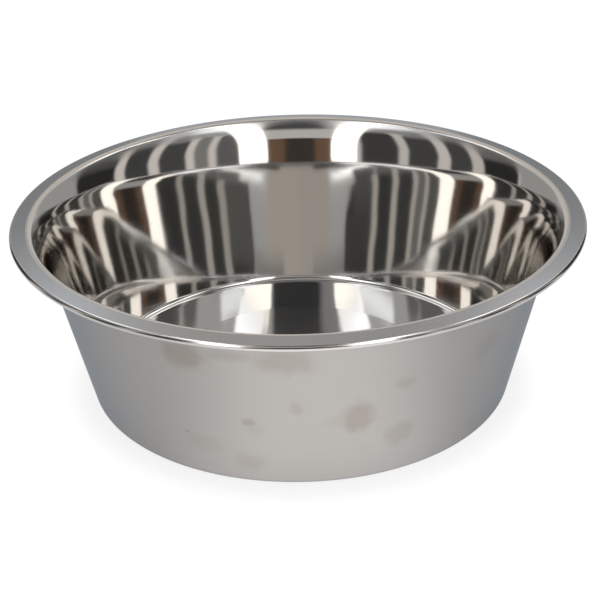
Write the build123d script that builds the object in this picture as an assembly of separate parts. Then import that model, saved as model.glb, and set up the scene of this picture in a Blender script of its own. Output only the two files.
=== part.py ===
from build123d import *
import math
import os

# Stainless dog bowl, deep drawn from one steel sheet and rolled at the rim.
# The sheet is followed from the middle of the floor out to the end of the roll,
# and divided at its forming lines into rings that meet face to face.
# Millimetres, +Z up, origin at the centre of the base on the floor.

# Overall sizes
rim_diameter = 280.0  # over the rolled edge
bowl_height = 91.0  # floor to the top of the neck, the highest line of the rim
base_diameter = 211.5  # outside of the wall, carried down to the floor
sheet = 0.8  # thickness of the steel

# Rim
curl_radius = 1.5  # outside of the rolled edge
curl_turn = 270.0  # degrees that the edge is rolled under
flange_width = 6.6  # straight part of the rim, between the neck and the roll
flange_fall = 7.5  # degrees that this part falls outwards
neck_radius = 3.2  # upper side of the bend between wall and rim

# Wall
flare_radius = 131.0  # inside of the gentle flare in the upper wall
flare_turn = 5.1  # degrees that the flare leans the wall further out
sweep_radius = 41.5  # inside of the quicker sweep from the flare to the neck
sweep_turn = 17.0  # degrees that the sweep adds

# Base
heel_radius = 4.0  # outside of the bend between wall and standing ring
stand_width = 3.5  # flat ring that the bowl stands on
floor_margin = 30.7  # gently rising margin of the floor, from the standing ring to the pressed circle
crown_rise = 0.5  # height of the pressed circle over the standing ring

# Middle line of the sheet: a bend is measured halfway through the thickness.
half_sheet = sheet / 2
rim_radius = rim_diameter / 2
base_radius = base_diameter / 2

# From the centre of the roll the falling flange leads back to the centre of the neck.
fall_angle = math.radians(flange_fall)
flange_reach = flange_width * math.cos(fall_angle)
fall_shift = (neck_radius - curl_radius) * math.sin(fall_angle)
neck_centre_radius = rim_radius - curl_radius - flange_reach - fall_shift
neck_centre_height = bowl_height - neck_radius

# The outside of the wall leaves the base circle at the angle from which the flare, the sweep
# and the neck bring it over into the flange.
flare_drop = flare_radius - sweep_radius
sweep_drop = sweep_radius - neck_radius
flare_angle = math.radians(flare_turn)
sweep_angle = math.radians(flare_turn + sweep_turn)
flare_under_radius = flare_radius - sheet
neck_offset = flare_under_radius - flare_drop * math.cos(flare_angle) - sweep_drop * math.cos(sweep_angle)
neck_reach = math.hypot(neck_centre_radius - base_radius, neck_centre_height)
neck_bearing = math.degrees(math.atan2(neck_centre_height, neck_centre_radius - base_radius))
wall_angle = neck_bearing + math.degrees(math.asin(neck_offset / neck_reach))

# The heel takes up the start of that line and the flare its end, the straight wall has the rest.
heel_tangent = heel_radius * math.tan(math.radians(wall_angle) / 2)
flare_reach = flare_drop * math.sin(flare_angle) + sweep_drop * math.sin(sweep_angle)
wall_length = math.sqrt(neck_reach**2 - neck_offset**2) - flare_reach - heel_tangent
heel_centre_radius = base_radius - heel_tangent

# Inside the standing ring the floor rises to the pressed circle in its middle.
floor_edge_radius = heel_centre_radius - stand_width
crease_radius = floor_edge_radius - floor_margin
crown_height = half_sheet + crown_rise

half_turn = 180  # degrees


def run(length):
    return ("run", length, 0)


def bend(radius, turn):
    return ("bend", radius, turn)


def follow(start, heading, stretch):
    # Edges of one stretch on the upper and lower side of the sheet, its end and the new heading.
    kind, size, turn = stretch
    along = Vector(1, 0).rotate(Axis.Z, heading)
    left = Vector(0, 1).rotate(Axis.Z, heading)
    if kind == "run":
        end = start + along * size
        sides = [Line(start + left * side, end + left * side) for side in (half_sheet, -half_sheet)]
        return sides, end, heading
    way = math.copysign(1, turn)
    centre = start + left * size * way
    first = heading - way * 90
    end = centre + Vector(size, 0).rotate(Axis.Z, first + turn)
    radii = (size - way * half_sheet, size + way * half_sheet)
    sides = [CenterArc(centre, radius, first, turn) for radius in radii]
    return sides, end, heading + turn


def revolved(section):
    # Two half turns of the section, their skins sewn together on the plane between them.
    half = revolve(Plane.XZ * section, Axis.Z, half_turn)
    skin = half.faces() - half.faces().filter_by(Axis.Y)
    return Solid(Shell(skin + [face.rotate(Axis.Z, half_turn) for face in skin]))


def ring(start, heading, stretches):
    # Revolves one length of sheet, and gives its end so that the next ring starts on its face.
    upper = []
    lower = []
    for stretch in stretches:
        sides, start, heading = follow(start, heading, stretch)
        upper.append(sides[0])
        lower.append(sides[1])
    ends = [Line(upper[0] @ 0, lower[0] @ 0), Line(upper[-1] @ 1, lower[-1] @ 1)]
    return revolved(make_face(upper + lower + ends)), start, heading


def plate(inner, outer, inner_height, outer_height):
    # Flat or slightly coned plate, cut square to the floor at both edges.
    corners = [
        (inner, inner_height - half_sheet),
        (outer, outer_height - half_sheet),
        (outer, outer_height + half_sheet),
        (inner, inner_height + half_sheet),
    ]
    return revolve(Plane.XZ * make_face(Polyline(*corners, close=True)), Axis.Z)


floor_disc = plate(0, crease_radius, crown_height, crown_height)
floor_ring = plate(crease_radius, floor_edge_radius, crown_height, half_sheet)

# From the edge of the floor outwards each ring starts where the last one ends.
level = 0
place = Vector(floor_edge_radius, half_sheet)
foot_ring, place, heading = ring(
    place,
    level,
    [
        run(stand_width),
        bend(heel_radius - half_sheet, wall_angle),
    ],
)
side_wall, place, heading = ring(place, heading, [run(wall_length)])
flare_ring, place, heading = ring(
    place,
    heading,
    [
        bend(flare_radius - half_sheet, -flare_turn),
        bend(sweep_radius - half_sheet, -sweep_turn),
    ],
)
neck_ring, place, heading = ring(place, heading, [bend(neck_radius - half_sheet, -heading - flange_fall)])
rim_flange, place, heading = ring(place, heading, [run(flange_width)])
rim_curl, place, heading = ring(place, heading, [bend(curl_radius - half_sheet, -curl_turn)])

pieces = {
    "floor_disc": floor_disc,
    "floor_ring": floor_ring,
    "foot_ring": foot_ring,
    "side_wall": side_wall,
    "flare_ring": flare_ring,
    "neck_ring": neck_ring,
    "rim_flange": rim_flange,
    "rim_curl": rim_curl,
}
os.makedirs("parts", exist_ok=True)
for node, solid in pieces.items():
    export_step(solid, f"parts/{node}.step")
    print(node, round(solid.volume), "mm3")
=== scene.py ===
import math

import bpy
from mathutils import Matrix, Vector


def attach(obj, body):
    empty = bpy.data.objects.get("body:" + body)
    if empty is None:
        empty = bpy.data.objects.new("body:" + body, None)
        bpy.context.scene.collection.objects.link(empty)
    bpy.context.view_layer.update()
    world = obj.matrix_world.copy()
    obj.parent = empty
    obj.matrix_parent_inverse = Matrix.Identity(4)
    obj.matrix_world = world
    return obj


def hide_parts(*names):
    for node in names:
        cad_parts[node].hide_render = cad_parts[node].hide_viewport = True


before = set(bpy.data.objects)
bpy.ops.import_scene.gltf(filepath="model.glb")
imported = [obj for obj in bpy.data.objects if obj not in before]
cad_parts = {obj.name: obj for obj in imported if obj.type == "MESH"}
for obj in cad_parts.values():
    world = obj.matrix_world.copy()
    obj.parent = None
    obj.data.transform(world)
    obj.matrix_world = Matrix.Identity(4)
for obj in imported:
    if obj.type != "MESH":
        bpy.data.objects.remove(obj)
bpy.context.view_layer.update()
bounces = 24  # light runs round the inside of the bowl many times
mm = 0.001  # metres in a millimetre
scene = bpy.context.scene
scene.view_settings.view_transform = "Standard"
scene.cycles.max_bounces = bounces
scene.cycles.glossy_bounces = bounces
scene.cycles.blur_glossy = 0
print("frame loaded:", len(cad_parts), "nodes")


# Small helpers for node trees

def plug(tree, value, socket):
    if isinstance(value, bpy.types.NodeSocket):
        tree.links.new(value, socket)
    else:
        socket.default_value = value


def calc(tree, operation, *values):
    node = tree.nodes.new("ShaderNodeMath")
    node.operation = operation
    for value, socket in zip(values, node.inputs):
        plug(tree, value, socket)
    return node.outputs[0]


def vector(tree, x, y, z):
    node = tree.nodes.new("ShaderNodeCombineXYZ")
    for value, socket in zip((x, y, z), node.inputs):
        plug(tree, value, socket)
    return node.outputs[0]


def split(tree, place):
    node = tree.nodes.new("ShaderNodeSeparateXYZ")
    tree.links.new(place, node.inputs[0])
    return node.outputs["X"], node.outputs["Y"], node.outputs["Z"]


def distance(tree, x, y):
    return calc(tree, "SQRT", calc(tree, "MULTIPLY_ADD", x, x, calc(tree, "MULTIPLY", y, y)))


def ramp(tree, value, low, high, start=0.0, end=1.0):
    node = tree.nodes.new("ShaderNodeMapRange")
    node.interpolation_type = "SMOOTHSTEP"
    for item, socket in zip((value, low, high, start, end), node.inputs):
        plug(tree, item, socket)
    return node.outputs[0]


def tint(tree, mask, under, over):
    node = tree.nodes.new("ShaderNodeMix")
    node.data_type = "RGBA"
    sockets = {socket.identifier: socket for socket in (*node.inputs, *node.outputs)}
    plug(tree, mask, sockets["Factor_Float"])
    plug(tree, under, sockets["A_Color"])
    plug(tree, over, sockets["B_Color"])
    return sockets["Result_Color"]


def objectPlace(tree):
    return tree.nodes.new("ShaderNodeTexCoord").outputs["Object"]


def fromFront(tree, x, y):
    # degrees round the axis from the front, which faces -Y, towards +X
    return calc(tree, "DEGREES", calc(tree, "ARCTAN2", x, calc(tree, "MULTIPLY", y, -1.0)))


def noise(tree, place, scale, detail):
    node = tree.nodes.new("ShaderNodeTexNoise")
    plug(tree, place, node.inputs["Vector"])
    plug(tree, scale, node.inputs["Scale"])
    plug(tree, detail, node.inputs["Detail"])
    return node.outputs["Fac"]


def placeGroup(tree, group, values):
    kind = "ShaderNodeGroup" if tree.bl_idname == "ShaderNodeTree" else "GeometryNodeGroup"
    node = tree.nodes.new(kind)
    node.node_tree = group
    for name, value in values.items():
        plug(tree, value, node.inputs[name])
    return node


def newGroup(name, kind, inputs, outputs):
    group = bpy.data.node_groups.new(name, kind)
    for way, sockets in (("INPUT", inputs), ("OUTPUT", outputs)):
        for title, socketType in sockets.items():
            group.interface.new_socket(title, in_out=way, socket_type="NodeSocket" + socketType)
    given = group.nodes.new("NodeGroupInput")
    result = group.nodes.new("NodeGroupOutput")
    return group, given.outputs, result.inputs


def floats(names):
    return {name: "Float" for name in names}


def keepAttribute(tree, mesh, name, kind, domain, value):
    node = tree.nodes.new("GeometryNodeStoreNamedAttribute")
    node.data_type = kind
    node.domain = domain
    node.inputs["Name"].default_value = name
    tree.links.new(mesh, node.inputs["Geometry"])
    tree.links.new(value, node.inputs["Value"])
    return node.outputs["Geometry"]


def readAttribute(tree, name, kind):
    node = tree.nodes.new("GeometryNodeInputNamedAttribute")
    node.data_type = kind
    node.inputs["Name"].default_value = name
    return node.outputs["Attribute"]


# The sheet: a stretch of steel is followed from its start, straight or bent, and turned round the axis

sheetMesh = {
    "around": 384,
    "weld": 0.000005,  # metres, points closer than this are joined
    "sharpFold": 1.0,  # radians, the square ends of the sheet stay sharp
    "leastTurn": 0.0001,  # radians, stands in for no turn at all
}
startNames = ("Start Radius", "Start Height", "Heading")
endNames = ("End Radius", "End Height", "End Heading")


def followSheet(tree, given, along):
    halfTurn = calc(tree, "MULTIPLY", calc(tree, "MULTIPLY", given["Turn"], along), 0.5)
    safe = calc(tree, "MAXIMUM", calc(tree, "ABSOLUTE", halfTurn), sheetMesh["leastTurn"])
    chord = calc(tree, "DIVIDE", calc(tree, "SINE", safe), safe)
    chord = calc(tree, "MULTIPLY", chord, calc(tree, "MULTIPLY", given["Length"], along))
    bearing = calc(tree, "ADD", given["Heading"], halfTurn)
    radius = calc(tree, "MULTIPLY_ADD", chord, calc(tree, "COSINE", bearing), given["Start Radius"])
    height = calc(tree, "MULTIPLY_ADD", chord, calc(tree, "SINE", bearing), given["Start Height"])
    return radius, height, calc(tree, "ADD", bearing, halfTurn)


def makeSheetPatch():
    sizes = (*startNames, "Length", "Turn", "Half Sheet", "From Along", "To Along",
             "From Across", "To Across", "Side Normal", "End Normal")
    inputs = {**floats(sizes), "Columns": "Int", "Around": "Int", "Flip": "Bool", "Underside": "Bool"}
    outputs = {"Mesh": "Geometry", **floats(endNames)}
    tree, given, result = newGroup("sheetPatch", "GeometryNodeTree", inputs, outputs)

    grid = tree.nodes.new("GeometryNodeMeshGrid")
    grid.inputs["Size X"].default_value = 1
    grid.inputs["Size Y"].default_value = 1
    tree.links.new(calc(tree, "ADD", given["Columns"], 1), grid.inputs["Vertices X"])
    tree.links.new(calc(tree, "ADD", given["Around"], 1), grid.inputs["Vertices Y"])

    x, y, _ = split(tree, tree.nodes.new("GeometryNodeInputPosition").outputs[0])
    share = calc(tree, "ADD", x, 0.5)
    angle = calc(tree, "MULTIPLY", calc(tree, "ADD", y, 0.5), math.tau)
    spread = {}
    for way in ("Along", "Across"):
        width = calc(tree, "SUBTRACT", given["To " + way], given["From " + way])
        spread[way] = calc(tree, "MULTIPLY_ADD", share, width, given["From " + way])

    radius, height, heading = followSheet(tree, given, spread["Along"])
    sine = calc(tree, "SINE", heading)
    cosine = calc(tree, "COSINE", heading)
    offset = calc(tree, "MULTIPLY", spread["Across"], given["Half Sheet"])
    radius = calc(tree, "SUBTRACT", radius, calc(tree, "MULTIPLY", offset, sine))
    height = calc(tree, "MULTIPLY_ADD", offset, cosine, height)

    # the true normal of the sheet keeps the joints between the rings out of sight
    outward = calc(tree, "MULTIPLY", given["End Normal"], cosine)
    outward = calc(tree, "SUBTRACT", outward, calc(tree, "MULTIPLY", given["Side Normal"], sine))
    upward = calc(tree, "MULTIPLY", given["End Normal"], sine)
    upward = calc(tree, "MULTIPLY_ADD", given["Side Normal"], cosine, upward)

    def turned(out, up):
        return vector(tree, calc(tree, "MULTIPLY", out, calc(tree, "COSINE", angle)),
                      calc(tree, "MULTIPLY", out, calc(tree, "SINE", angle)), up)

    normal = turned(outward, upward)
    mesh = keepAttribute(tree, grid.outputs["Mesh"], "sheetNormal", "FLOAT_VECTOR", "CORNER", normal)
    mesh = keepAttribute(tree, mesh, "underside", "BOOLEAN", "FACE", given["Underside"])
    setPlace = tree.nodes.new("GeometryNodeSetPosition")
    tree.links.new(mesh, setPlace.inputs["Geometry"])
    tree.links.new(turned(radius, height), setPlace.inputs["Position"])
    flip = tree.nodes.new("GeometryNodeFlipFaces")
    tree.links.new(setPlace.outputs["Geometry"], flip.inputs["Mesh"])
    tree.links.new(given["Flip"], flip.inputs["Selection"])
    tree.links.new(flip.outputs["Mesh"], result["Mesh"])
    for name, value in zip(endNames, followSheet(tree, given, 1.0)):
        tree.links.new(value, result[name])
    return tree


sheetPatch = makeSheetPatch()


def makeRingTree(stretches, startsOnAxis):
    inputs = {**floats(startNames), "Sheet": "Float", "Around": "Int"}
    for k in range(1, stretches + 1):
        inputs.update({f"Length {k}": "Float", f"Turn {k}": "Float", f"Columns {k}": "Int"})
    inputs.update({"Upper Finish": "Material", "Under Finish": "Material"})
    outputs = {"Geometry": "Geometry"}
    tree, given, result = newGroup(f"sheetRing{stretches}", "GeometryNodeTree", inputs, outputs)
    join = tree.nodes.new("GeometryNodeJoinGeometry")
    halfSheet = calc(tree, "MULTIPLY", given["Sheet"], 0.5)

    def patch(start, k, values):
        sizes = {"Length": given[f"Length {k}"], "Turn": given[f"Turn {k}"], "Half Sheet": halfSheet}
        sizes.update(zip(startNames, start))
        node = placeGroup(tree, sheetPatch, {**sizes, "Around": given["Around"], **values})
        tree.links.new(node.outputs["Mesh"], join.inputs[0])
        return node

    def side(start, k, across, underside):
        return patch(start, k, {
            "Columns": given[f"Columns {k}"], "To Along": 1.0, "From Across": across, "To Across": across,
            "Side Normal": across, "Flip": underside, "Underside": underside})

    def cap(start, k, along, way):
        patch(start, k, {
            "Columns": 1, "From Along": along, "To Along": along, "From Across": -1.0, "To Across": 1.0,
            "End Normal": way, "Flip": way > 0, "Underside": True})

    start = [given[name] for name in startNames]
    if not startsOnAxis:
        cap(start, 1, 0.0, -1.0)
    for k in range(1, stretches + 1):
        upper = side(start, k, 1.0, False)
        side(start, k, -1.0, True)
        if k == stretches:
            cap(start, k, 1.0, 1.0)
        start = [upper.outputs[name] for name in endNames]

    merge = tree.nodes.new("GeometryNodeMergeByDistance")
    merge.inputs["Distance"].default_value = sheetMesh["weld"]
    smooth = tree.nodes.new("GeometryNodeSetShadeSmooth")
    corners = tree.nodes.new("GeometryNodeSetShadeSmooth")
    corners.domain = "EDGE"
    corners.inputs["Shade Smooth"].default_value = False
    fold = tree.nodes.new("GeometryNodeInputMeshEdgeAngle").outputs["Unsigned Angle"]
    sharp = calc(tree, "GREATER_THAN", fold, sheetMesh["sharpFold"])
    tree.links.new(sharp, corners.inputs["Selection"])
    normals = tree.nodes.new("GeometryNodeSetMeshNormal")
    normals.mode = "FREE"
    normals.domain = "CORNER"
    tree.links.new(readAttribute(tree, "sheetNormal", "FLOAT_VECTOR"), normals.inputs["Custom Normal"])
    realize = tree.nodes.new("GeometryNodeRealizeInstances")
    paintUpper = tree.nodes.new("GeometryNodeSetMaterial")
    paintUnder = tree.nodes.new("GeometryNodeSetMaterial")
    tree.links.new(given["Upper Finish"], paintUpper.inputs["Material"])
    tree.links.new(given["Under Finish"], paintUnder.inputs["Material"])
    tree.links.new(readAttribute(tree, "underside", "BOOLEAN"), paintUnder.inputs["Selection"])
    chain = [join, merge, smooth, corners, normals, realize, paintUpper, paintUnder]
    for first, second in zip(chain, chain[1:]):
        tree.links.new(first.outputs[0], second.inputs[0])
    tree.links.new(paintUnder.outputs[0], result["Geometry"])
    return tree


# Finishes

lineNoise = {
    "detail": 3.0,
    "contrast": (0.3, 0.7),  # the part of the noise over which the roughness changes
    "leastRadius": 0.0001,  # metres, keeps the lines whole at the axis
}
waveNoise = {"detail": 1.0}
markEdge = {
    "scale": 130.0,
    "detail": 3.0,
    "unevenness": 1.1,
    "fade": (0.45, 1.35),  # the mark fades between these shares of its half sizes
}
markSizes = ("Bearing", "Height", "Half Width", "Half Height", "Strength")


def makeTurningLines():
    # fine lines round the axis, left by polishing the bowl as it turns
    inputs = floats(("Lines per Metre", "Breaks"))
    tree, given, result = newGroup("turningLines", "ShaderNodeTree", inputs, floats(("Lines",)))
    x, y, z = split(tree, objectPlace(tree))
    radius = distance(tree, x, y)
    safe = calc(tree, "MAXIMUM", radius, lineNoise["leastRadius"])
    across = calc(tree, "MULTIPLY", calc(tree, "ADD", radius, z), given["Lines per Metre"])
    breaks = [calc(tree, "MULTIPLY", calc(tree, "DIVIDE", way, safe), given["Breaks"]) for way in (x, y)]
    lines = noise(tree, vector(tree, across, *breaks), 1.0, lineNoise["detail"])
    tree.links.new(lines, result["Lines"])
    return tree


def makeSoftWaves():
    # slow waves that drawing leaves in the sheet
    inputs = floats(("Waves per Metre",))
    tree, given, result = newGroup("softWaves", "ShaderNodeTree", inputs, floats(("Waves",)))
    waves = noise(tree, objectPlace(tree), given["Waves per Metre"], waveNoise["detail"])
    tree.links.new(waves, result["Waves"])
    return tree


def makeWaterMark():
    # one dried water mark with an uneven edge, by degrees from the front and millimetres of height
    tree, given, result = newGroup("waterMark", "ShaderNodeTree", floats(markSizes), floats(("Mask",)))
    place = objectPlace(tree)
    x, y, z = split(tree, place)
    aside = calc(tree, "SUBTRACT", fromFront(tree, x, y), given["Bearing"])
    aside = calc(tree, "DIVIDE", aside, given["Half Width"])
    above = calc(tree, "SUBTRACT", calc(tree, "DIVIDE", z, mm), given["Height"])
    above = calc(tree, "DIVIDE", above, given["Half Height"])
    uneven = calc(tree, "SUBTRACT", noise(tree, place, markEdge["scale"], markEdge["detail"]), 0.5)
    away = calc(tree, "MULTIPLY_ADD", uneven, markEdge["unevenness"], distance(tree, aside, above))
    tree.links.new(ramp(tree, away, *markEdge["fade"], given["Strength"], 0.0), result["Mask"])
    return tree


turningLines = makeTurningLines()
softWaves = makeSoftWaves()
waterMark = makeWaterMark()


def makeSteel(name, look):
    material = bpy.data.materials.new(name)
    material.use_nodes = True
    tree = material.node_tree
    steel = tree.nodes["Principled BSDF"]
    steel.inputs["Metallic"].default_value = 1
    steel.inputs["Base Color"].default_value = (*look["colour"], 1)
    steel.inputs["Specular Tint"].default_value = (*look["edgeTint"], 1)
    if "marks" in look:
        stain = 0.0
        for mark in look["marks"]:
            mask = placeGroup(tree, waterMark, dict(zip(markSizes, mark))).outputs["Mask"]
            stain = calc(tree, "MAXIMUM", mask, stain)
        stained = tint(tree, stain, (*look["colour"], 1), (*look["stained"], 1))
        tree.links.new(stained, steel.inputs["Base Color"])

    lineValues = {"Lines per Metre": look["lines"], "Breaks": look["breaks"]}
    lines = placeGroup(tree, turningLines, lineValues).outputs["Lines"]
    waves = placeGroup(tree, softWaves, {"Waves per Metre": look["waves"]}).outputs["Waves"]
    roughness = ramp(tree, lines, *lineNoise["contrast"], *look["roughness"])
    if "rimRoughness" in look:
        _, _, z = split(tree, objectPlace(tree))
        rimward = ramp(tree, z, *look["rimHeights"], 0.0, look["rimRoughness"])
        roughness = calc(tree, "ADD", roughness, rimward)
    tree.links.new(roughness, steel.inputs["Roughness"])

    normal = None
    for height, depth in ((waves, look["waveDepth"]), (lines, look["lineDepth"])):
        bump = tree.nodes.new("ShaderNodeBump")
        bump.inputs["Strength"].default_value = 1
        bump.inputs["Distance"].default_value = depth
        tree.links.new(height, bump.inputs["Height"])
        if normal:
            tree.links.new(normal, bump.inputs["Normal"])
        normal = bump.outputs["Normal"]
    tree.links.new(normal, steel.inputs["Normal"])
    return material


# Lines and waves are counted per metre, rim heights and depths are in metres
polished = {
    "colour": (0.65, 0.64, 0.625),
    "edgeTint": (1.0, 1.0, 1.0),
    "roughness": (0.045, 0.065),
    "rimHeights": (0.084, 0.0905),  # the polish ends softly below the rim
    "rimRoughness": 0.13,
    "lines": 2500.0,
    "breaks": 6.0,
    "lineDepth": 0.0000004,
    "waves": 28.0,
    "waveDepth": 0.00013,
}
satin = {
    "colour": (0.45, 0.428, 0.41),
    # painted reflection: this bluish dark tint at grazing angles stands in for the darker, cool
    # surroundings that the sides of the wall mirror
    "edgeTint": (0.45, 0.53, 0.62),
    "roughness": (0.36, 0.44),
    "lines": 1800.0,
    "breaks": 10.0,
    "lineDepth": 0.000002,
    "waves": 30.0,
    "waveDepth": 0.00002,
    "stained": (0.373, 0.343, 0.31),
    # bearing, height, half width, half height, strength, in degrees and millimetres
    "marks": (
        (-24.0, 71.5, 5.2, 8.0, 1.0),
        (-14.5, 75.0, 6.0, 3.2, 0.55),
        (-3.5, 73.0, 6.8, 7.0, 0.8),
        (-11.8, 37.4, 1.7, 2.4, 0.9),
        (-10.4, 33.5, 2.4, 3.4, 0.3),
        (-1.1, 47.0, 1.6, 4.0, 0.6),
        (-27.6, 25.7, 0.6, 0.8, 1.0),
        (12.0, 38.5, 3.8, 9.0, 0.95),
        (8.6, 38.0, 4.0, 3.4, 0.35),
        (22.3, 54.4, 3.0, 3.6, 0.5),
        (23.0, 24.0, 4.0, 6.6, 0.6),
        (44.4, 58.6, 4.6, 7.4, 0.35),
        (-12.3, 13.0, 4.0, 5.0, 0.5),
        (-23.0, 21.0, 6.0, 5.0, 0.3),
    ),
}
rimSatin = {
    "colour": (0.415, 0.43, 0.452),
    "edgeTint": (0.9, 0.92, 0.95),
    "roughness": (0.24, 0.27),
    "lines": 3000.0,
    "breaks": 12.0,
    "lineDepth": 0.0000002,
    "waves": 20.0,
    "waveDepth": 0.00001,
}
rolled = {
    "colour": (0.62, 0.61, 0.60),
    "edgeTint": (1.0, 1.0, 1.0),
    "roughness": (0.14, 0.17),
    "lines": 3000.0,
    "breaks": 12.0,
    "lineDepth": 0.0000002,
    "waves": 24.0,
    "waveDepth": 0.00001,
}
polishedSteel = makeSteel("polishedSteel", polished)
rolledSteel = makeSteel("rolledSteel", rolled)
satinSteel = makeSteel("satinSteel", satin)
rimSteel = makeSteel("rimSteel", rimSatin)
print("finishes made:", len(bpy.data.materials))


# The bowl, one sheet from the middle of the floor to the end of the roll, in millimetres and degrees

bowl = {"rimDiameter": 280.0, "height": 91.0, "baseDiameter": 211.5, "sheet": 0.8}
floorDisc = {"rise": 0.5, "columns": 24}
floorRing = {"margin": 30.7, "columns": 10}
footRing = {"standWidth": 3.5, "heelRadius": 4.0, "columns": (4, 20)}
sideWall = {"columns": 16}
flareRing = {"radius": 131.0, "turn": 5.1, "sweepRadius": 41.5, "sweepTurn": 17.0, "columns": (16, 24)}
neckRing = {"radius": 3.2, "columns": 24}
rimFlange = {"width": 6.6, "fall": 7.5, "columns": 5}
rimCurl = {"radius": 1.5, "turn": 270.0, "columns": 40}


def solveWall():
    # the angle and length of the straight wall, from which the flare, the sweep and the neck reach the
    # flange, and how far the heel reaches in from where that wall is carried down to the floor
    fall = math.radians(rimFlange["fall"])
    neckOut = bowl["rimDiameter"] / 2 - rimCurl["radius"] - rimFlange["width"] * math.cos(fall)
    neckOut -= (neckRing["radius"] - rimCurl["radius"]) * math.sin(fall) + bowl["baseDiameter"] / 2
    neckUp = bowl["height"] - neckRing["radius"]
    flareDrop = flareRing["radius"] - flareRing["sweepRadius"]
    sweepDrop = flareRing["sweepRadius"] - neckRing["radius"]
    flareAngle = math.radians(flareRing["turn"])
    sweepAngle = math.radians(flareRing["turn"] + flareRing["sweepTurn"])
    neckOffset = flareRing["radius"] - bowl["sheet"]
    neckOffset -= flareDrop * math.cos(flareAngle) + sweepDrop * math.cos(sweepAngle)
    neckReach = math.hypot(neckOut, neckUp)
    angle = math.atan2(neckUp, neckOut) + math.asin(neckOffset / neckReach)
    heel = footRing["heelRadius"] * math.tan(angle / 2)
    flareReach = flareDrop * math.sin(flareAngle) + sweepDrop * math.sin(sweepAngle)
    length = math.sqrt(neckReach**2 - neckOffset**2) - flareReach - heel
    return math.degrees(angle), length, heel


def run(length):
    return length, 0.0


def bend(radius, turn):
    return radius * math.radians(abs(turn)), math.radians(turn)


def sheetEnd(start, stretches):
    radius, height, heading = start
    for length, turn in stretches:
        half = turn / 2
        chord = length * (math.sin(half) / half if half else 1)
        radius += chord * math.cos(heading + half)
        height += chord * math.sin(heading + half)
        heading += turn
    return radius, height, heading


def makeRing(name, node, start, stretches, columns, upper):
    tree = makeRingTree(len(stretches), start[0] == 0)
    ring = bpy.data.objects.new(name, bpy.data.meshes.new(name))
    scene.collection.objects.link(ring)
    shape = ring.modifiers.new("sheetRing", "NODES")
    shape.node_group = tree
    radius, height, heading = start
    values = {"Start Radius": radius * mm, "Start Height": height * mm, "Heading": heading,
              "Sheet": bowl["sheet"] * mm, "Around": sheetMesh["around"],
              "Upper Finish": upper, "Under Finish": satinSteel}
    for k, (length, turn) in enumerate(stretches, 1):
        values.update({f"Length {k}": length * mm, f"Turn {k}": turn, f"Columns {k}": columns[k - 1]})
    for socket in tree.interface.items_tree:
        if socket.in_out == "INPUT":
            shape[socket.identifier] = values[socket.name]
    graph = bpy.context.evaluated_depsgraph_get()
    made = ring.evaluated_get(graph)
    mesh = bpy.data.meshes.new_from_object(made, preserve_all_data_layers=True, depsgraph=graph)
    ring.modifiers.remove(shape)
    ring.data = mesh
    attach(ring, "root")
    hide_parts(node)
    print(name, len(mesh.polygons), "faces")
    return sheetEnd(start, stretches)


wallAngle, wallLength, heelReach = solveWall()
halfSheet = bowl["sheet"] / 2
floorEdge = bowl["baseDiameter"] / 2 - heelReach - footRing["standWidth"]
discEdge = floorEdge - floorRing["margin"]
discHeight = halfSheet + floorDisc["rise"]
makeRing("steelFloorDisc", "floor_disc", (0.0, discHeight, 0.0),
         [run(discEdge)], (floorDisc["columns"],), polishedSteel)
slope = -math.atan2(floorDisc["rise"], floorRing["margin"])
makeRing("steelFloorRing", "floor_ring", (discEdge, discHeight, slope),
         [run(math.hypot(floorRing["margin"], floorDisc["rise"]))], (floorRing["columns"],), polishedSteel)
place = makeRing("steelFootRing", "foot_ring", (floorEdge, halfSheet, 0.0),
                 [run(footRing["standWidth"]), bend(footRing["heelRadius"] - halfSheet, wallAngle)],
                 footRing["columns"], polishedSteel)
place = makeRing("steelSideWall", "side_wall", place,
                 [run(wallLength)], (sideWall["columns"],), polishedSteel)
place = makeRing("steelFlareRing", "flare_ring", place,
                 [bend(flareRing["radius"] - halfSheet, -flareRing["turn"]),
                  bend(flareRing["sweepRadius"] - halfSheet, -flareRing["sweepTurn"])],
                 flareRing["columns"], polishedSteel)
place = makeRing("steelNeckRing", "neck_ring", place,
                 [bend(neckRing["radius"] - halfSheet, -math.degrees(place[2]) - rimFlange["fall"])],
                 (neckRing["columns"],), polishedSteel)
place = makeRing("steelRimFlange", "rim_flange", place,
                 [run(rimFlange["width"])], (rimFlange["columns"],), rimSteel)
makeRing("steelRimCurl", "rim_curl", place,
         [bend(rimCurl["radius"] - halfSheet, -rimCurl["turn"])], (rimCurl["columns"],), rolledSteel)
print("bowl made")


# Floor and light, in metres and degrees

def stageMesh(name, points, faces, material):
    mesh = bpy.data.meshes.new(name)
    mesh.from_pydata(points, [], faces)
    mesh.materials.append(material)
    piece = bpy.data.objects.new(name, mesh)
    scene.collection.objects.link(piece)
    return piece


def newStageLook(name):
    material = bpy.data.materials.new(name)
    material.use_nodes = True
    material.cycles.emission_sampling = "NONE"
    tree = material.node_tree
    tree.nodes.remove(tree.nodes["Principled BSDF"])
    return material, tree, tree.nodes["Material Output"].inputs["Surface"]


floorLook = {
    "reach": 6.0,
    "height": -0.0003,
    "level": 1.035,  # glow that is seen directly
    "frontMirrored": 1.21,  # glow that the steel mirrors, strongest near the front
    "sideMirrored": 0.785,
    "frontBearing": 5.0,
    "spread": (10.0, 52.0),
    "shadowReach": (0.106, 0.127),  # the shadow fades away from the bowl
    "shadowShare": (0.29, 0.03),
}


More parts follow.
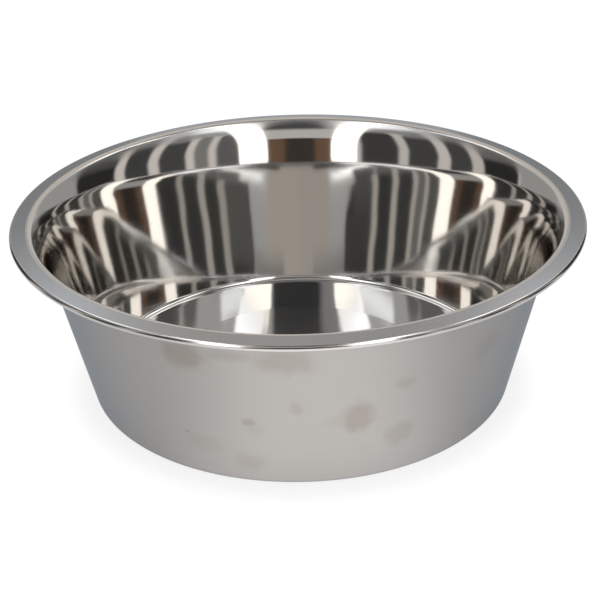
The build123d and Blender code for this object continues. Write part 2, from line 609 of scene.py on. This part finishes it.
def makePaleFloor():
    material, tree, surface = newStageLook("paleFloor")
    path = tree.nodes.new("ShaderNodeLightPath").outputs
    x, y, _ = split(tree, objectPlace(tree))
    seen = calc(tree, "MAXIMUM", path["Is Camera Ray"], path["Is Transmission Ray"])
    seen = calc(tree, "MULTIPLY", seen, floorLook["level"])
    aside = calc(tree, "ABSOLUTE", calc(tree, "SUBTRACT", fromFront(tree, x, y), floorLook["frontBearing"]))
    glowRange = (floorLook["frontMirrored"], floorLook["sideMirrored"])
    mirrored = ramp(tree, aside, *floorLook["spread"], *glowRange)
    glow = tree.nodes.new("ShaderNodeEmission")
    strength = calc(tree, "MULTIPLY_ADD", path["Is Glossy Ray"], mirrored, seen)
    tree.links.new(strength, glow.inputs["Strength"])
    matt = tree.nodes.new("ShaderNodeBsdfDiffuse")
    matt.inputs["Color"].default_value = (1, 1, 1, 1)
    blend = tree.nodes.new("ShaderNodeMixShader")
    shade = ramp(tree, distance(tree, x, y), *floorLook["shadowReach"], *floorLook["shadowShare"])
    for source, socket in zip((shade, glow.outputs[0], matt.outputs[0]), blend.inputs):
        tree.links.new(source, socket)
    tree.links.new(blend.outputs[0], surface)
    corners = ((-1, -1), (1, -1), (1, 1), (-1, 1))
    reach = floorLook["reach"]
    points = [(reach * across, reach * along, floorLook["height"]) for across, along in corners]
    stageMesh("paleFloor", points, [(0, 1, 2, 3)], material)


makePaleFloor()
world = bpy.data.worlds.new("softLight")
scene.world = world
world.use_nodes = True
sky = world.node_tree.nodes["Background"]
sky.inputs["Color"].default_value = (1, 1, 1, 1)
sky.inputs["Strength"].default_value = 1

# What the steel mirrors: panels round the bowl by bearing and height in degrees, and strips over its top
# by millimetres to the side and degrees from the front over the top to the back. A later card covers
# the ones before it.
studio = {
    "radius": 0.6,
    "centre": 0.05,
    "lowest": -9.0,
    "span": 98.5,  # degrees from the lowest to the highest edge of the dome
    "levels": 40,
    "around": 96,
    "wall": (0.66, 0.655, 0.65),
    "gather": 0.0035,  # the strips draw together towards the back
    # from, to, low, high, soft edge, arch of the top, colour
    "panels": (
        # pale wall at the back, with bright bands that rise towards the sides
        (-180, -146, 18, 76, 3.0, 0, (0.71, 0.65, 0.59)),
        (146, 180, 18, 76, 3.0, 0, (0.67, 0.62, 0.57)),
        (-149, -117, 36, 60, 3.0, 0, (0.88, 0.9, 0.92)),
        (118, 146, 36, 60, 3.0, 0, (0.84, 0.86, 0.88)),
        (-144, -132, 42, 50, 4.5, 0, (2.1, 2.08, 2.06)),
        (-134, -121, 44, 55, 4.5, 0, (2.1, 2.08, 2.06)),
        (-123, -110, 49, 59, 3.0, 0, (2.1, 2.08, 2.06)),
        (132, 144, 43, 49, 4.5, 0, (2.6, 2.56, 2.52)),
        (122, 134, 44.5, 54, 4.5, 0, (3.0, 2.95, 2.9)),
        (111, 124, 49, 59, 3.0, 0, (3.0, 2.95, 2.9)),
        # darker low at the back and beside the bands
        (-164, -131, -9, 28, 2.0, 0, (0.38, 0.38, 0.37)),
        (128, 164, -9, 28, 2.0, 0, (0.40, 0.40, 0.39)),
        (-114, -98, 40, 51, 2.0, 0, (0.22, 0.22, 0.22)),
        (98, 114, 40, 51, 2.0, 0, (0.20, 0.20, 0.20)),
        # warm wall at the sides
        (-131, -92, -9, 40, 2.0, 0, (0.64, 0.60, 0.56)),
        (-92, -68, -9, 44, 2.0, 0, (0.70, 0.66, 0.62)),
        (-68, -52, -9, 44, 2.0, 0, (0.66, 0.62, 0.59)),
        (40, 127, -9, 40, 2.0, 0, (0.76, 0.71, 0.66)),
        # dark panels on it, most of them with a paler top
        (-130, -106, -9, 40, 1.2, 3, (0.03, 0.03, 0.028)),
        (-129, -106, 25, 38, 3.0, 0, (0.16, 0.155, 0.15)),
        (-120, -106, 37, 52, 2.5, 3, (0.22, 0.22, 0.215)),
        (-98.5, -85, -9, 44, 1.2, 0, (0.07, 0.07, 0.066)),
        (-98, -86, 40, 52, 3.0, 4, (0.22, 0.22, 0.215)),
        (-77.8, -60.5, -9, 43, 1.2, 3, (0.07, 0.068, 0.065)),
        (-77, -61.5, 39, 51, 3.0, 5, (0.25, 0.25, 0.245)),
        (-55, -35, -9, 48, 1.5, 8, (0.06, 0.058, 0.055)),
        (30, 42.6, -9, 46, 1.5, 6, (0.14, 0.138, 0.135)),
        (46.8, 55, -9, 46, 1.5, 5, (0.24, 0.24, 0.23)),
        (60, 75, -9, 43, 1.2, 3, (0.075, 0.074, 0.072)),
        (60.8, 74, 39, 50, 3.0, 5, (0.26, 0.26, 0.255)),
        (81.2, 96, -9, 44, 1.2, 0, (0.065, 0.065, 0.063)),
        (82, 95.5, 40, 53, 3.0, 4, (0.22, 0.22, 0.215)),
        (102.2, 129, -9, 36, 1.2, 3, (0.03, 0.03, 0.028)),
        (102.2, 128, 24, 33, 3.0, 0, (0.09, 0.088, 0.085)),
        (102.2, 120, 32, 54, 2.5, 3, (0.14, 0.14, 0.135)),
        # brown gap at the front, with pale wall over it
        (-21, 15.5, -9, 30, 1.0, 0, (0.17, 0.10, 0.065)),
        (-10, 6, -9, 30, 2.0, 0, (0.055, 0.045, 0.038)),
        (-21, 15.5, 30, 47, 1.0, 0, (0.60, 0.585, 0.56)),
        # high at the sides
        (-160, -86, 60, 76, 3.0, 0, (0.10, 0.098, 0.095)),
        (64, 160, 60, 76, 3.0, 0, (0.10, 0.098, 0.095)),
        (-94, -77, 56, 67, 2.5, 0, (0.26, 0.255, 0.25)),
        (77, 94, 56, 67, 2.5, 0, (0.26, 0.255, 0.25)),
        (-112, -96, 54, 61, 2.5, 0, (2.0, 1.98, 1.96)),
        (96, 113, 54, 61, 2.5, 0, (3.0, 2.95, 2.9)),
        (-66, -36, 43, 50.5, 2.0, 0, (0.32, 0.315, 0.31)),
        (36, 62, 43, 50.5, 2.0, 0, (0.4, 0.395, 0.39)),
        (-76, -48, 51, 55.5, 2.0, 0, (1.75, 1.8, 1.85)),
        (46, 64, 51, 56, 2.0, 0, (1.65, 1.7, 1.75)),
        # high at the front
        (-32, -17, 47, 66, 2.0, 0, (0.38, 0.38, 0.38)),
        (-18, 23, 47, 66, 3.0, 0, (0.06, 0.06, 0.062)),
    ),
    "strips": (
        (-125, 125, 66, 106, 8.0, 0, (0.22, 0.22, 0.22)),
        (-330, -195, 8, 64, 5.0, 0, (2.6, 2.46, 2.3)),
        (162, 308, 8, 64, 5.0, 0, (2.6, 2.46, 2.3)),
        (-334, -205, 64, 98, 6.0, 0, (2.4, 2.46, 2.54)),
        (188, 316, 64, 98, 6.0, 0, (2.4, 2.46, 2.54)),
    ),
}
cardSizes = ("From", "To", "Low", "High", "Soft", "Arch")


def makeStudioCard():
    inputs = floats(("Bearing", "Height", *cardSizes))
    tree, given, result = newGroup("studioCard", "ShaderNodeTree", inputs, floats(("Mask",)))
    soft = given["Soft"]

    def edge(value, place, start, end):
        low = calc(tree, "SUBTRACT", place, soft)
        high = calc(tree, "ADD", place, soft)
        return ramp(tree, value, low, high, start, end)

    half = calc(tree, "MULTIPLY", calc(tree, "SUBTRACT", given["To"], given["From"]), 0.5)
    middle = calc(tree, "ADD", given["From"], half)
    aside = calc(tree, "DIVIDE", calc(tree, "SUBTRACT", given["Bearing"], middle), half)
    arched = calc(tree, "MULTIPLY", given["Arch"], calc(tree, "MULTIPLY", aside, aside))
    top = calc(tree, "SUBTRACT", given["High"], arched)
    wide = calc(tree, "MULTIPLY", edge(given["Bearing"], given["From"], 0.0, 1.0),
                edge(given["Bearing"], given["To"], 1.0, 0.0))
    tall = calc(tree, "MULTIPLY", edge(given["Height"], given["Low"], 0.0, 1.0),
                edge(given["Height"], top, 1.0, 0.0))
    tree.links.new(calc(tree, "MULTIPLY", wide, tall), result["Mask"])
    return tree


def makeStudioLight():
    studioCard = makeStudioCard()
    material, tree, surface = newStageLook("studioLight")
    x, y, z = split(tree, objectPlace(tree))
    raised = calc(tree, "SUBTRACT", z, studio["centre"])
    height = calc(tree, "DEGREES", calc(tree, "ARCSINE", calc(tree, "DIVIDE", raised, studio["radius"])))
    over = calc(tree, "DEGREES", calc(tree, "ARCTAN2", raised, calc(tree, "MULTIPLY", y, -1.0)))
    aside = calc(tree, "DIVIDE", x, mm)
    aside = calc(tree, "MULTIPLY", aside, calc(tree, "MULTIPLY_ADD", over, studio["gather"], 1.0))
    colour = (*studio["wall"], 1)
    for cards, across, up in (("panels", fromFront(tree, x, y), height), ("strips", aside, over)):
        for *sizes, shade in studio[cards]:
            values = {"Bearing": across, "Height": up, **dict(zip(cardSizes, sizes))}
            mask = placeGroup(tree, studioCard, values).outputs["Mask"]
            colour = tint(tree, mask, colour, (*shade, 1))
    glow = tree.nodes.new("ShaderNodeEmission")
    tree.links.new(colour, glow.inputs["Color"])
    tree.links.new(glow.outputs[0], surface)
    return material


def makeStudioDome():
    levels = studio["levels"]
    around = studio["around"]
    points = []
    for i in range(levels + 1):
        level = math.radians(studio["lowest"] + studio["span"] * i / levels)
        out = studio["radius"] * math.cos(level)
        height = studio["centre"] + studio["radius"] * math.sin(level)
        for j in range(around):
            turn = math.tau * j / around
            points.append((out * math.cos(turn), out * math.sin(turn), height))
    faces = []
    for i in range(0, levels * around, around):
        for j in range(around):
            k = (j + 1) % around
            faces.append((i + j, i + k, i + around + k, i + around + j))
    faces.append(tuple(range(levels * around, (levels + 1) * around)))
    dome = stageMesh("studioDome", points, faces, makeStudioLight())
    dome.visible_camera = False
    dome.visible_diffuse = False
    dome.visible_transmission = False
    dome.visible_shadow = False


makeStudioDome()
print("studio made:", len(studio["panels"]) + len(studio["strips"]), "cards")


# Camera, in metres and degrees

view = {
    "elevation": 26.9075,
    "distance": 0.7185,
    "target": (0.00023, 0.0, 0.04015),
    "roll": -1.326,
    "focalPixels": 1416.2,
    "widthPixels": 600,
    "sensorWidth": 36.0,  # millimetres
    "nearest": 0.01,
}
elevation = math.radians(view["elevation"])
forward = Vector((0, math.cos(elevation), -math.sin(elevation)))
right = forward.cross(Vector((0, 0, 1))).normalized()
up = right.cross(forward)
roll = math.radians(view["roll"])
rolledRight = right * math.cos(roll) + up * math.sin(roll)
rolledUp = up * math.cos(roll) - right * math.sin(roll)
lens = bpy.data.cameras.new("photoView")
lens.sensor_width = view["sensorWidth"]
lens.lens = view["focalPixels"] * view["sensorWidth"] / view["widthPixels"]
lens.clip_start = view["nearest"]
camera = bpy.data.objects.new("photoView", lens)
facing = Matrix((rolledRight, rolledUp, -forward)).transposed().to_4x4()
camera.matrix_world = Matrix.Translation(Vector(view["target"]) - forward * view["distance"]) @ facing
scene.collection.objects.link(camera)
scene.camera = camera
print("camera placed")
